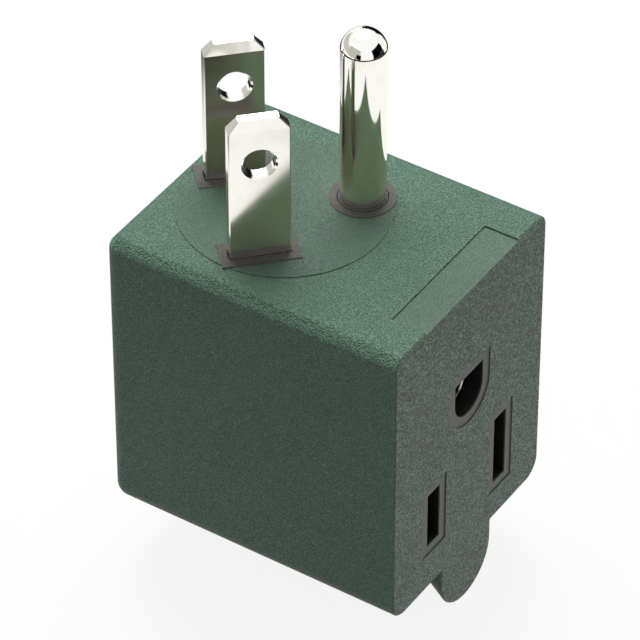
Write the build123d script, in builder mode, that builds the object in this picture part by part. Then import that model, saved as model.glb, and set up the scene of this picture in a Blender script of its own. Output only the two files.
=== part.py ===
"""Right angle plug adapter: three prongs on its top face and an outlet on its front face, in millimetres.

The origin is the centre of the raised disc on the plug face. +Z runs along the prongs, -Y is the way the
outlet faces, and +X is on the outlet's right-hand side. The prongs stand turned by 45 degrees to the block.
"""
import os
from math import cos, radians, sin, sqrt

from build123d import *

# Prongs and outlet share one standard pattern
blade_spacing = 12.7
blade_to_pin = 11.9
blade_width = 6.25
blade_thickness = 1.52
pin_radius = 2.38

# Plug face: the raised disc and how the prongs stand on it
disc_radius = 11.0
disc_step = 0.1
prong_turn = 45.0
blade_line_to_disc_centre = 3.85
blade_length = 17.0
blade_bevel_height = 1.3
blade_tip_width = 4.1
blade_tip_thickness = 1.0
blade_hole_radius = 1.65
blade_hole_chamfer = 0.2
blade_hole_height = 11.6
blade_edge_break = 0.12
pin_length = 20.9
pin_dome_height = 1.95
pin_dome_blend = 1.0
pin_neck_radius = 2.0
pin_ring_radius = 2.56

# Collars of the prong carrier, standing proud of the disc
collar_rise = 0.12
collar_length = 8.15
collar_width = 3.7
collar_shift = 0.05
pin_collar_radius = 3.45
collar_gap = 0.1
collar_gap_depth = 0.6

# Walls and edges of the jacket
disc_to_front = 22.3
side_wall = 2.2
front_wall = 2.0
top_wall = 1.9
bottom_wall = 2.0
back_cover = 0.64
top_edge_radius = 1.6
bottom_edge_radius = 2.2
back_edge_radius = 1.6
front_edge_break = 0.15

# Label panel, left bare, open to the outlet face
panel_width = 17.3
panel_length = 4.0
panel_depth = 0.18

# Finger tongue below the outlet
tongue_width = 9.5
tongue_drop = 7.0
tongue_root = 1.0

# Outlet openings and the rims round them
slot_width = 2.3
line_slot_height = 7.0
neutral_slot_height = 8.75
slot_rim = 1.0
ground_opening_width = 5.3
ground_opening_flat = 2.6
ground_rim = 1.1
rim_recess = 0.15
slot_to_core_base = 7.0

# Prong carrier and the plate under it
carrier_thickness = 5.4
carrier_margin = 0.3
carrier_shoulder = 4.0
carrier_nose_half = 4.2
carrier_corner_cut = 1.0
retainer_thickness = 2.2

# Outlet plate, the core behind it, the core's back half and the cover
core_width = 23.6
core_depth = 15.7
plate_thickness = 2.0
core_corner_cut = 0.8
chamber_width = 5.2
chamber_height = 9.6
chamber_wall = 1.5
cover_thickness = 1.8

# Metal strip parts
strap_thickness = 0.8
strap_leg_width = 4.2
strap_leg_shift = 0.5
strap_leg_end = 2.4
strap_eye_radius = 2.2
strap_reach = 2.25
foot_reach = 2.75
foot_end = 1.9
bend_radius = 0.4
strap_bend_radius = 0.7
ground_leg_width = 3.6
ground_leg_end = 2.2
ground_eye_radius = 2.6
pin_room = 22.5

# Rivets and the pin's flange and peened end
rivet_radius = 0.8
rivet_head_radius = 1.5
rivet_head_height = 0.65
pin_flange_radius = 3.2
pin_flange_height = 1.0
pin_tail_radius = 1.5
pin_peen_radius = 2.1
pin_peen_height = 0.7

# Spring contacts
contact_thickness = 0.5
contact_set_back = 0.4
contact_length = 12.0
contact_mouth = 1.45
contact_pinch = 0.5
contact_spread = 1.3
contact_lead = 2.4
contact_spring = 6.5
contact_height = 8.7
contact_base_drop = 4.7
contact_free_height = 0.9
contact_bend_radius = 1.2
contact_tail_width = 3.4
contact_tab_rise = 2.0
ground_contact_bore = 2.45
ground_contact_depth = 2.25
ground_contact_length = 13.0
ground_contact_slit = 28.0
ground_contact_flare = 0.12
ground_tail_width = 3.2
ground_tail_overlap = 2.0
contact_clearance = 0.15
ground_tab_drop = 2.0
tab_bend_radius = 0.3

# Clearance of metal parts in their pockets
fit = 0.05

# Heights, worked out from the plug face down
collar_top_z = collar_rise
top_z = -disc_step
carrier_top_z = top_z - top_wall
carrier_base_z = carrier_top_z - carrier_thickness
strap_base_z = carrier_base_z - strap_thickness
core_top_z = carrier_base_z - retainer_thickness
ground_contact_radius = ground_contact_bore + contact_thickness
ground_chamber_half = ground_contact_radius + contact_clearance
ground_z = core_top_z - chamber_wall - ground_chamber_half
slot_z = ground_z - blade_to_pin
core_base_z = slot_z - slot_to_core_base
base_z = core_base_z - bottom_wall
foot_top_z = carrier_base_z + blade_thickness
contact_base_z = slot_z - contact_base_drop
slot_leg_end_z = slot_z - strap_leg_end
ground_leg_end_z = ground_z - ground_leg_end

# Widths and depths
body_width = core_width + 2 * side_wall
front_y = -disc_to_front
rim_y = front_y + rim_recess
core_front_y = front_y + front_wall
core_back_y = core_front_y + core_depth
ground_contact_y = front_y + ground_contact_depth
chamber_front_y = core_front_y + plate_thickness
slot_contact_y = chamber_front_y + contact_set_back
ground_leg_y = front_y + pin_room

# Places of the prongs in the turned pattern: x from the blades to the pin, y from line to neutral
blade_x = -blade_line_to_disc_centre
pin_x = blade_x + blade_to_pin
blade_y = blade_spacing / 2
rivet_y = blade_y - foot_reach
rivet_room = 2 * (rivet_head_radius + fit)
foot_tip_y = rivet_y - foot_end
carrier_half = blade_y + collar_shift + collar_width / 2 + carrier_margin
carrier_back_x = blade_x - collar_length / 2 - carrier_margin
carrier_front_x = pin_x + pin_collar_radius + carrier_margin


def in_block(x, y):
    """The block's own coordinates of a point of the turned prong pattern."""
    return Vector(x, y, 0).rotate(Axis.Z, -prong_turn)


line_rivet = in_block(blade_x, -rivet_y)
neutral_rivet = in_block(blade_x, rivet_y)
pin_place = in_block(pin_x, 0)
leg_y = line_rivet.Y + strap_reach
leg_back_y = leg_y + strap_thickness
cover_back_y = leg_back_y + cover_thickness
back_y = in_block(carrier_back_x, carrier_half).Y + back_cover
body_depth = back_y - front_y
line_leg_x = strap_leg_shift - blade_y
neutral_leg_x = blade_y - strap_leg_shift
ground_leg_back_y = ground_leg_y + strap_thickness
slot_contact_back_y = slot_contact_y + contact_length
ground_contact_back_y = ground_contact_y + ground_contact_length
ground_tail_y = ground_contact_back_y - ground_tail_overlap
slit_corner = (
    2 * ground_contact_radius * sin(radians(ground_contact_slit / 2)),
    -2 * ground_contact_radius * cos(radians(ground_contact_slit / 2)),
)

# Routes of the straps: middle and front of the leg, its width, the place under the prong, the eye's radius
line_route = (line_leg_x, leg_y, strap_leg_width, line_rivet, strap_eye_radius)
neutral_route = (neutral_leg_x, leg_y, strap_leg_width, neutral_rivet, strap_eye_radius)
ground_route = (0, ground_leg_y, ground_leg_width, pin_place, ground_eye_radius)


def prong_plane(height):
    """Level plane with its x axis from the blades to the pin and its y axis from line to neutral."""
    return Plane(origin=(0, 0, height), x_dir=in_block(1, 0), z_dir=(0, 0, 1))


def front_plane(y):
    """Upright plane seen from the front: its x axis is +X, its y axis +Z, and it faces -Y."""
    return Plane(origin=(0, y, 0), x_dir=(1, 0, 0), z_dir=(0, -1, 0))


def carrier_outline(height):
    """Six-sided outline of the prong carrier, with its corners cut."""
    with BuildSketch(prong_plane(height)) as outline:
        with BuildLine():
            Polyline(
                (carrier_back_x, -carrier_half),
                (carrier_shoulder, -carrier_half),
                (carrier_front_x, -carrier_nose_half),
                (carrier_front_x, carrier_nose_half),
                (carrier_shoulder, carrier_half),
                (carrier_back_x, carrier_half),
                close=True,
            )
        make_face()
        chamfer(outline.vertices(), carrier_corner_cut)
    return outline.sketch


def collar_outlines(height):
    """Two straight collars round the blades and a round one round the pin."""
    with BuildSketch(prong_plane(height)) as outline:
        with Locations((blade_x, blade_y + collar_shift), (blade_x, -blade_y - collar_shift)):
            Rectangle(collar_length, collar_width)
        with Locations((pin_x, 0)):
            Circle(pin_collar_radius)
    return outline.sketch


def slot_outlines(y, margin):
    """The line slot on the left and the longer neutral slot on the right, with a margin all round."""
    with BuildSketch(front_plane(y)) as outline:
        with Locations((-blade_y, slot_z)):
            Rectangle(slot_width + 2 * margin, line_slot_height + 2 * margin)
        with Locations((blade_y, slot_z)):
            Rectangle(slot_width + 2 * margin, neutral_slot_height + 2 * margin)
    return outline.sketch


def ground_outline(y, margin):
    """The ground opening, flat above and half round below, with a margin all round."""
    half = ground_opening_width / 2 + margin
    with BuildSketch(front_plane(y)) as outline:
        with BuildLine():
            bottom = CenterArc((0, ground_z), half, 180, 180)
            Polyline(
                bottom @ 1,
                (half, ground_z + ground_opening_flat + margin),
                (-half, ground_z + ground_opening_flat + margin),
                bottom @ 0,
            )
        make_face()
    return outline.sketch


def chamber_outlines(y):
    """The two chambers round the slot contacts."""
    with BuildSketch(front_plane(y)) as outline:
        with Locations((-blade_y, slot_z), (blade_y, slot_z)):
            Rectangle(chamber_width, chamber_height)
    return outline.sketch


def ground_chamber_outline(y):
    """The square chamber round the ground contact."""
    with BuildSketch(front_plane(y)) as outline:
        with Locations((0, ground_z)):
            Rectangle(2 * ground_chamber_half, 2 * ground_chamber_half)
    return outline.sketch


def core_outline(y):
    """Outline of the outlet core, its back half and its cover."""
    with BuildSketch(front_plane(y)) as outline:
        with Locations((0, (core_top_z + core_base_z) / 2)):
            Rectangle(core_width, core_top_z - core_base_z)
        chamfer(outline.vertices(), core_corner_cut)
    return outline.sketch


def leg_outline(route, height, margin):
    """Level section of a strap's leg, with a margin all round."""
    leg_x, front, width = route[:3]
    with BuildSketch(Plane.XY.offset(height)) as outline:
        with Locations((leg_x, front + strap_thickness / 2)):
            Rectangle(width + 2 * margin, strap_thickness + 2 * margin)
    return outline.sketch


def tab_outline(route, height, margin):
    """Level tab of a strap, drawn tight round the section of its leg and the eye under its prong."""
    leg_x, front, width, eye, eye_radius = route
    with BuildSketch(Plane.XY.offset(height)) as outline:
        with Locations((leg_x, front + strap_thickness / 2)):
            Rectangle(width + 2 * margin, strap_thickness + 2 * margin)
        with Locations((eye.X, eye.Y)):
            Circle(eye_radius + margin)
        make_hull()
    return outline.sketch


def foot_section(side, margin):
    """Upright L of a blade and its foot, which points in towards the middle of the plug face."""
    upright = Plane(origin=in_block(blade_x, 0), x_dir=in_block(0, side), z_dir=in_block(side, 0))
    outer = blade_y + blade_thickness / 2 + margin
    with BuildSketch(upright) as section:
        with Locations((outer, carrier_base_z)):
            Rectangle(
                blade_thickness + 2 * margin,
                carrier_top_z - carrier_base_z,
                align=(Align.MAX, Align.MIN),
            )
            Rectangle(
                outer - foot_tip_y + margin,
                blade_thickness + margin,
                align=(Align.MAX, Align.MIN),
            )
        inner_corner = (outer - blade_thickness - 2 * margin, foot_top_z + margin)
        fillet(section.vertices().sort_by_distance(inner_corner)[0], bend_radius)
    return section.sketch


# The jacket: an upright rounded outline run back from the outlet face
with BuildPart() as outer_jacket:
    with BuildSketch(front_plane(front_y)) as block_outline:
        with Locations((0, (top_z + base_z) / 2)):
            Rectangle(body_width, top_z - base_z)
        fillet(block_outline.vertices().group_by(Axis.Y)[-1], top_edge_radius)
        fillet(block_outline.vertices().group_by(Axis.Y)[0], bottom_edge_radius)
    extrude(amount=-body_depth)
    fillet(outer_jacket.faces().sort_by(Axis.Y)[-1].edges(), back_edge_radius)
    # the finger tongue: a U swept back and up at 45 degrees into the block's underside
    with BuildSketch(front_plane(front_y)):
        with Locations((0, base_z - tongue_drop + tongue_width / 2)):
            Circle(tongue_width / 2)
            Rectangle(
                tongue_width,
                tongue_drop - tongue_width / 2 + tongue_root,
                align=(Align.CENTER, Align.MIN),
            )
    extrude(amount=(tongue_drop + tongue_root) * sqrt(2), dir=(0, 1, 1))
    chamfer(outer_jacket.faces().sort_by(Axis.Y)[0].outer_wire().edges(), front_edge_break)
    # the raised disc, rooted in the block
    with BuildSketch(Plane.XY):
        Circle(disc_radius)
    extrude(amount=-(disc_step + top_wall / 2))
    # the bare label panel
    with BuildSketch(Plane.XY.offset(top_z)):
        with Locations((0, front_y)):
            Rectangle(panel_width, 2 * panel_length)
    extrude(amount=-panel_depth, mode=Mode.SUBTRACT)
    # the pocket round the carrier and its plate, and the holes for the collars
    extrude(carrier_outline(carrier_top_z), amount=core_top_z - carrier_top_z, mode=Mode.SUBTRACT)
    extrude(collar_outlines(carrier_top_z), amount=top_wall + disc_step, mode=Mode.SUBTRACT)
    # the pocket round the outlet core, its back and its cover, and the windows for the rims
    extrude(core_outline(core_front_y), amount=core_front_y - cover_back_y, mode=Mode.SUBTRACT)
    extrude(slot_outlines(core_front_y, slot_rim), amount=front_wall, mode=Mode.SUBTRACT)
    extrude(ground_outline(core_front_y, ground_rim), amount=front_wall, mode=Mode.SUBTRACT)

# The prong carrier with its three collars
with BuildPart() as plug_core:
    extrude(carrier_outline(carrier_base_z), amount=carrier_thickness)
    extrude(collar_outlines(carrier_top_z), amount=collar_top_z - carrier_top_z)
    with BuildSketch(prong_plane(carrier_base_z)):
        with Locations((blade_x, blade_y), (blade_x, -blade_y)):
            Rectangle(blade_width + 2 * fit, blade_thickness + 2 * fit)
        with Locations((pin_x, 0)):
            Circle(pin_neck_radius + fit)
    extrude(amount=collar_top_z - carrier_base_z, mode=Mode.SUBTRACT)
    # a narrow gap shows round each blade, and a ring round the pin, where it leaves its collar
    with BuildSketch(prong_plane(collar_top_z)):
        with Locations((blade_x, blade_y), (blade_x, -blade_y)):
            Rectangle(blade_width + 2 * collar_gap, blade_thickness + 2 * collar_gap)
        with Locations((pin_x, 0)):
            Circle(pin_ring_radius + collar_gap)
            Circle(pin_ring_radius, mode=Mode.SUBTRACT)
    extrude(amount=-collar_gap_depth, mode=Mode.SUBTRACT)
    # pockets for the feet, the rivets' upper heads and the pin's flange
    for side in (1, -1):
        extrude(
            foot_section(side, fit),
            amount=blade_width / 2 + fit,
            both=True,
            mode=Mode.SUBTRACT,
        )
    with BuildSketch(prong_plane(foot_top_z)):
        with Locations((blade_x, rivet_y), (blade_x, -rivet_y)):
            Rectangle(rivet_room, rivet_room)
    extrude(amount=rivet_head_height + fit, mode=Mode.SUBTRACT)
    with BuildSketch(prong_plane(carrier_base_z)):
        with Locations((pin_x, 0)):
            Circle(pin_flange_radius + fit)
    extrude(amount=pin_flange_height + fit, mode=Mode.SUBTRACT)


def blade_section(side, height, width, thickness):
    """Level section of a blade, with its edges broken."""
    with BuildSketch(prong_plane(height)) as section:
        with Locations((blade_x, side * blade_y)):
            Rectangle(width, thickness)
        chamfer(section.vertices(), blade_edge_break)
    return section.sketch


def blade(side):
    """Flat blade with a bevelled tip and a hole through it, on a foot with a rivet hole."""
    shoulder_z = blade_length - blade_bevel_height
    with BuildPart() as prong:
        extrude(foot_section(side, 0), amount=blade_width / 2, both=True)
        extrude(
            blade_section(side, carrier_top_z, blade_width, blade_thickness),
            amount=shoulder_z - carrier_top_z,
        )
        loft(
            [
                blade_section(side, shoulder_z, blade_width, blade_thickness),
                blade_section(side, blade_length, blade_tip_width, blade_tip_thickness),
            ],
            ruled=True,
        )
        # the locking hole near the tip, chamfered on both sides
        face = in_block(blade_x, side * (blade_y + blade_thickness / 2))
        with BuildSketch(
            Plane(
                origin=(face.X, face.Y, blade_hole_height),
                x_dir=(0, 0, 1),
                z_dir=in_block(0, side),
            )
        ):
            Circle(blade_hole_radius)
        extrude(amount=-blade_thickness, mode=Mode.SUBTRACT)
        chamfer(prong.edges(Select.LAST).filter_by(GeomType.CIRCLE), blade_hole_chamfer)
        # the outside of the bend, then the rivet hole in the foot
        fillet(
            prong.edges().sort_by_distance((face.X, face.Y, carrier_base_z))[0],
            blade_thickness + bend_radius - fit,
        )
        with BuildSketch(prong_plane(carrier_base_z)):
            with Locations((blade_x, side * rivet_y)):
                Circle(rivet_radius)
        extrude(amount=blade_thickness, mode=Mode.SUBTRACT)
    return prong


line_blade = blade(-1)
neutral_blade = blade(1)

# The ground pin, turned in one piece: domed shank, neck in the carrier, flange, tail and peened end
with BuildPart() as ground_pin:
    with BuildSketch(
        Plane(origin=pin_place, x_dir=in_block(1, 0), z_dir=in_block(0, -1))
    ) as pin_section:
        with BuildLine():
            dome = TangentArc(
                (0, pin_length),
                (pin_radius, pin_length - pin_dome_height),
                tangent=(1, 0),
            )
            Polyline(
                dome @ 0,
                (0, strap_base_z - pin_peen_height),
                (pin_peen_radius, strap_base_z - pin_peen_height),
                (pin_peen_radius, strap_base_z),
                (pin_tail_radius, strap_base_z),
                (pin_tail_radius, carrier_base_z),
                (pin_flange_radius, carrier_base_z),
                (pin_flange_radius, carrier_base_z + pin_flange_height),
                (pin_neck_radius, carrier_base_z + pin_flange_height),
                (pin_neck_radius, collar_top_z),
                (pin_radius, collar_top_z),
                dome @ 1,
            )
        make_face()
        dome_foot = (pin_radius, pin_length - pin_dome_height)
        fillet(pin_section.vertices().sort_by_distance(dome_foot)[0], pin_dome_blend)
    revolve(axis=Axis(pin_place, (0, 0, 1)))


# The plate under the carrier: channels for the straps' tabs, slots for their legs, room for the heads
with BuildPart() as blade_retainer:
    extrude(carrier_outline(core_top_z), amount=retainer_thickness)
    for route in (line_route, neutral_route, ground_route):
        extrude(
            tab_outline(route, carrier_base_z, fit),
            amount=-(strap_thickness + fit),
            mode=Mode.SUBTRACT,
        )
        extrude(
            leg_outline(route, carrier_base_z, fit),
            amount=-retainer_thickness,
            mode=Mode.SUBTRACT,
        )
    with BuildSketch(prong_plane(strap_base_z)):
        with Locations((blade_x, rivet_y), (blade_x, -rivet_y)):
            Rectangle(rivet_room, rivet_room)
        with Locations((pin_x, 0)):
            Circle(pin_peen_radius + fit)
    extrude(amount=-(pin_peen_height + fit), mode=Mode.SUBTRACT)


def strap(route, hole_radius, end_z):
    """Bent strip: a level tab with an eye under its prong, and a leg welded flat to its contact."""
    leg_x, front, width, eye, eye_radius = route
    with BuildPart() as strip:
        extrude(tab_outline(route, strap_base_z, 0), amount=strap_thickness)
        extrude(leg_outline(route, carrier_base_z, 0), amount=end_z - carrier_base_z)
        bend = (leg_x, front + strap_thickness, carrier_base_z)
        fillet(strip.edges().filter_by(Axis.X).sort_by_distance(bend)[0], strap_bend_radius)
        with BuildSketch(Plane.XY.offset(strap_base_z)):
            with Locations((eye.X, eye.Y)):
                Circle(hole_radius)
        extrude(amount=strap_thickness, mode=Mode.SUBTRACT)
    return strip


line_strap = strap(line_route, rivet_radius, slot_leg_end_z)
neutral_strap = strap(neutral_route, rivet_radius, slot_leg_end_z)
ground_strap = strap(ground_route, pin_tail_radius, ground_leg_end_z)


def slot_contact(x):
    """Folded spring contact: two leaves that pinch a blade, on a base with a tail and a welded tab."""
    spring_y = slot_contact_y + contact_spring
    with BuildPart() as contact:
        with BuildSketch(Plane.XY.offset(contact_base_z)) as leaves:
            with BuildLine():
                Polyline(
                    (x + contact_mouth, slot_contact_y),
                    (x + contact_pinch, slot_contact_y + contact_lead),
                    (x + contact_spread, spring_y),
                    (x + contact_spread, slot_contact_back_y),
                    (x + contact_spread + contact_thickness, slot_contact_back_y),
                    (x + contact_spread + contact_thickness, spring_y),
                    (x + contact_pinch + contact_thickness, slot_contact_y + contact_lead),
                    (x + contact_mouth + contact_thickness, slot_contact_y),
                    close=True,
                )
            make_face()
            pinch = leaves.vertices().group_by(Axis.Y)[1]
            fillet(pinch, contact_bend_radius)
            mirror(about=Plane.YZ.offset(x))
        extrude(amount=contact_height)
        # the front of the leaves is free of the base
        with BuildSketch(Plane.XY.offset(contact_base_z)):
            with Locations((x, slot_contact_y)):
                Rectangle(
                    2 * (contact_mouth + contact_thickness),
                    contact_spring,
                    align=(Align.CENTER, Align.MIN),
                )
        extrude(amount=contact_free_height, mode=Mode.SUBTRACT)
        with BuildSketch(Plane.XY.offset(contact_base_z)):
            with Locations((x, spring_y)):
                Rectangle(
                    2 * (contact_spread + contact_thickness),
                    contact_length - contact_spring,
                    align=(Align.CENTER, Align.MIN),
                )
        extrude(amount=contact_thickness)
        # the tail runs back and turns up into the tab behind
        with BuildSketch(Plane.YZ.offset(x)) as tail:
            with BuildLine():
                Polyline(
                    (slot_contact_back_y - contact_thickness, contact_base_z),
                    (leg_y, contact_base_z),
                    (leg_y, slot_z + contact_tab_rise),
                    (leg_y - contact_thickness, slot_z + contact_tab_rise),
                    (leg_y - contact_thickness, contact_base_z + contact_thickness),
                    (slot_contact_back_y - contact_thickness, contact_base_z + contact_thickness),
                    close=True,
                )
            make_face()
            fillet(
                tail.vertices().sort_by_distance((leg_y, contact_base_z))[0],
                contact_thickness + tab_bend_radius,
            )
            fillet(
                tail.vertices().sort_by_distance(
                    (leg_y - contact_thickness, contact_base_z + contact_thickness)
                )[0],
                tab_bend_radius,
            )
        extrude(amount=contact_tail_width / 2, both=True)
    return contact


line_contact = slot_contact(-blade_y)
neutral_contact = slot_contact(blade_y)

# The ground contact: a tube split along its underside, with a tail on top that turns down behind
with BuildPart() as ground_contact:
    with BuildSketch(front_plane(ground_contact_y)):
        with Locations((0, ground_z)):
            Circle(ground_contact_radius)
            Circle(ground_contact_bore, mode=Mode.SUBTRACT)
            with BuildLine():
                Polyline(
                    (0, 0),
                    slit_corner,
                    (-slit_corner[0], slit_corner[1]),
                    close=True,
                )
            make_face(mode=Mode.SUBTRACT)
    extrude(amount=-ground_contact_length)
    mouth = ground_contact.edges().filter_by(GeomType.CIRCLE).group_by(Axis.Y)[0]
    chamfer(mouth.sort_by(SortBy.RADIUS)[0], ground_contact_flare)
    with BuildSketch(Plane.YZ) as tail:
        with BuildLine():
            Polyline(
                (ground_tail_y, ground_z + ground_contact_radius),
                (ground_leg_y, ground_z + ground_contact_radius),
                (ground_leg_y, ground_z - ground_tab_drop),
                (ground_leg_y - contact_thickness, ground_z - ground_tab_drop),
                (ground_leg_y - contact_thickness, ground_z + ground_contact_bore),
                (ground_tail_y, ground_z + ground_contact_bore),
                close=True,
            )
        make_face()
        fillet(
            tail.vertices().sort_by_distance((ground_leg_y, ground_z + ground_contact_radius))[0],
            contact_thickness + tab_bend_radius,
        )
        fillet(
            tail.vertices().sort_by_distance(
                (ground_leg_y - contact_thickness, ground_z + ground_contact_bore)
            )[0],
            tab_bend_radius,
        )
    extrude(amount=ground_tail_width / 2, both=True)


# The outlet plate: two rims that fill the jacket's slot windows, with the slots through them
with BuildPart() as outlet_plate:
    extrude(core_outline(core_front_y), amount=-plate_thickness)
    extrude(slot_outlines(core_front_y, slot_rim), amount=core_front_y - rim_y)
    extrude(slot_outlines(rim_y, 0), amount=rim_y - chamber_front_y, mode=Mode.SUBTRACT)
    extrude(ground_chamber_outline(core_front_y), amount=-plate_thickness, mode=Mode.SUBTRACT)

# The bush round the ground opening, in the jacket's third window and seated on the plate
with BuildPart() as ground_bush:
    extrude(ground_outline(core_front_y, ground_rim), amount=core_front_y - rim_y)
    extrude(ground_outline(core_front_y, 0), amount=core_front_y - rim_y, mode=Mode.SUBTRACT)

# The outlet core, with a chamber behind each opening
with BuildPart() as socket_core:
    extrude(core_outline(chamber_front_y), amount=chamber_front_y - core_back_y)
    extrude(
        chamber_outlines(chamber_front_y) + ground_chamber_outline(chamber_front_y),
        amount=chamber_front_y - core_back_y,
        mode=Mode.SUBTRACT,
    )

# The core's back half: the chambers run on, and the straps' legs lie in channels open behind
with BuildPart() as core_back:
    extrude(core_outline(core_back_y), amount=core_back_y - leg_back_y)
    extrude(
        chamber_outlines(core_back_y) + ground_chamber_outline(core_back_y),
        amount=core_back_y - leg_back_y,
        mode=Mode.SUBTRACT,
    )
    with BuildSketch(front_plane(leg_y - fit)):
        with Locations((line_leg_x, core_top_z), (neutral_leg_x, core_top_z)):
            Rectangle(
                strap_leg_width + 2 * fit,
                core_top_z - slot_leg_end_z + fit,
                align=(Align.CENTER, Align.MAX),
            )
    extrude(amount=-(strap_thickness + fit), mode=Mode.SUBTRACT)
    with BuildSketch(front_plane(ground_leg_y - fit)):
        with Locations((0, core_top_z)):
            Rectangle(
                ground_leg_width + 2 * fit,
                core_top_z - ground_leg_end_z + fit,
                align=(Align.CENTER, Align.MAX),
            )
    extrude(amount=-(leg_back_y - ground_leg_y + fit), mode=Mode.SUBTRACT)

# The cover behind, with a rib that reaches in to the ground strap
with BuildPart() as strap_cover:
    extrude(core_outline(leg_back_y), amount=-cover_thickness)
    with BuildSketch(front_plane(leg_back_y)):
        with Locations((0, core_top_z - core_corner_cut)):
            Rectangle(
                ground_leg_width,
                core_top_z - core_corner_cut - ground_leg_end_z,
                align=(Align.CENTER, Align.MAX),
            )
    extrude(amount=leg_back_y - ground_leg_back_y)

# The two rivets, each through a foot and its strap, turned about an upright axis
with BuildPart() as blade_rivets:
    for eye in (line_rivet, neutral_rivet):
        with BuildSketch(Plane(origin=(eye.X, eye.Y, 0), x_dir=(1, 0, 0), z_dir=(0, -1, 0))):
            with BuildLine():
                Polyline(
                    (0, strap_base_z - rivet_head_height),
                    (rivet_head_radius, strap_base_z - rivet_head_height),
                    (rivet_head_radius, strap_base_z),
                    (rivet_radius, strap_base_z),
                    (rivet_radius, foot_top_z),
                    (rivet_head_radius, foot_top_z),
                    (rivet_head_radius, foot_top_z + rivet_head_height),
                    (0, foot_top_z + rivet_head_height),
                    close=True,
                )
            make_face()
        revolve(axis=Axis(eye, (0, 0, 1)))

os.makedirs("parts", exist_ok=True)
outer_jacket.part.label = "outer_jacket"
export_step(outer_jacket.part, "parts/outer_jacket.step")
plug_core.part.label = "plug_core"
export_step(plug_core.part, "parts/plug_core.step")
blade_retainer.part.label = "blade_retainer"
export_step(blade_retainer.part, "parts/blade_retainer.step")
line_blade.part.label = "line_blade"
export_step(line_blade.part, "parts/line_blade.step")
neutral_blade.part.label = "neutral_blade"
export_step(neutral_blade.part, "parts/neutral_blade.step")
ground_pin.part.label = "ground_pin"
export_step(ground_pin.part, "parts/ground_pin.step")
line_strap.part.label = "line_strap"
export_step(line_strap.part, "parts/line_strap.step")
neutral_strap.part.label = "neutral_strap"
export_step(neutral_strap.part, "parts/neutral_strap.step")
ground_strap.part.label = "ground_strap"
export_step(ground_strap.part, "parts/ground_strap.step")
line_contact.part.label = "line_contact"
export_step(line_contact.part, "parts/line_contact.step")
neutral_contact.part.label = "neutral_contact"
export_step(neutral_contact.part, "parts/neutral_contact.step")
ground_contact.part.label = "ground_contact"
export_step(ground_contact.part, "parts/ground_contact.step")
outlet_plate.part.label = "outlet_plate"
export_step(outlet_plate.part, "parts/outlet_plate.step")
ground_bush.part.label = "ground_bush"
export_step(ground_bush.part, "parts/ground_bush.step")
socket_core.part.label = "socket_core"
export_step(socket_core.part, "parts/socket_core.step")
core_back.part.label = "core_back"
export_step(core_back.part, "parts/core_back.step")
strap_cover.part.label = "strap_cover"
export_step(strap_cover.part, "parts/strap_cover.step")
blade_rivets.part.label = "blade_rivets"
export_step(blade_rivets.part, "parts/blade_rivets.step")
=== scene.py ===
"""Dresses the right angle plug adapter: finishes, studio light, floor and camera."""

import logging
import math
from dataclasses import dataclass
from enum import Enum

import bmesh
import bpy
from mathutils import Matrix, Vector


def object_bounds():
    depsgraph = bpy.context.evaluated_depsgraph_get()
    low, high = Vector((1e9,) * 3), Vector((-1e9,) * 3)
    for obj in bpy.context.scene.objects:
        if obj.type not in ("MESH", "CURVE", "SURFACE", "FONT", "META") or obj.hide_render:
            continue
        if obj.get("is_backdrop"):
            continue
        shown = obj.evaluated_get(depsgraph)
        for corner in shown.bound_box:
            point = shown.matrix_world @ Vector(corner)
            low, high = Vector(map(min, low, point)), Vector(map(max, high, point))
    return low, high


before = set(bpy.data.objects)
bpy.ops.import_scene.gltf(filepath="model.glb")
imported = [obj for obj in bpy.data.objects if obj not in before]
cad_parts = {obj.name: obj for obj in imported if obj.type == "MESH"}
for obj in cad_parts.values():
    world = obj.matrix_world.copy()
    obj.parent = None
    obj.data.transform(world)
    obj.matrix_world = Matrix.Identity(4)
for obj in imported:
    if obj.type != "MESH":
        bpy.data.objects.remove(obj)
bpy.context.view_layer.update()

log = logging.getLogger("plug_adapter")

Colour = tuple[float, float, float]
Range = tuple[float, float]
Socket = bpy.types.NodeSocket
MM = 0.001
WHITE: Colour = (1.0, 1.0, 1.0)
BLACK: Colour = (0.0, 0.0, 0.0)


class Facing(Enum):
    """Ways that a face can look: one of the object's axes, 0 to 2 for x to z, and its sign."""

    PRONGS = (2, 1.0)
    OUTLET = (1, -1.0)


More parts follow.
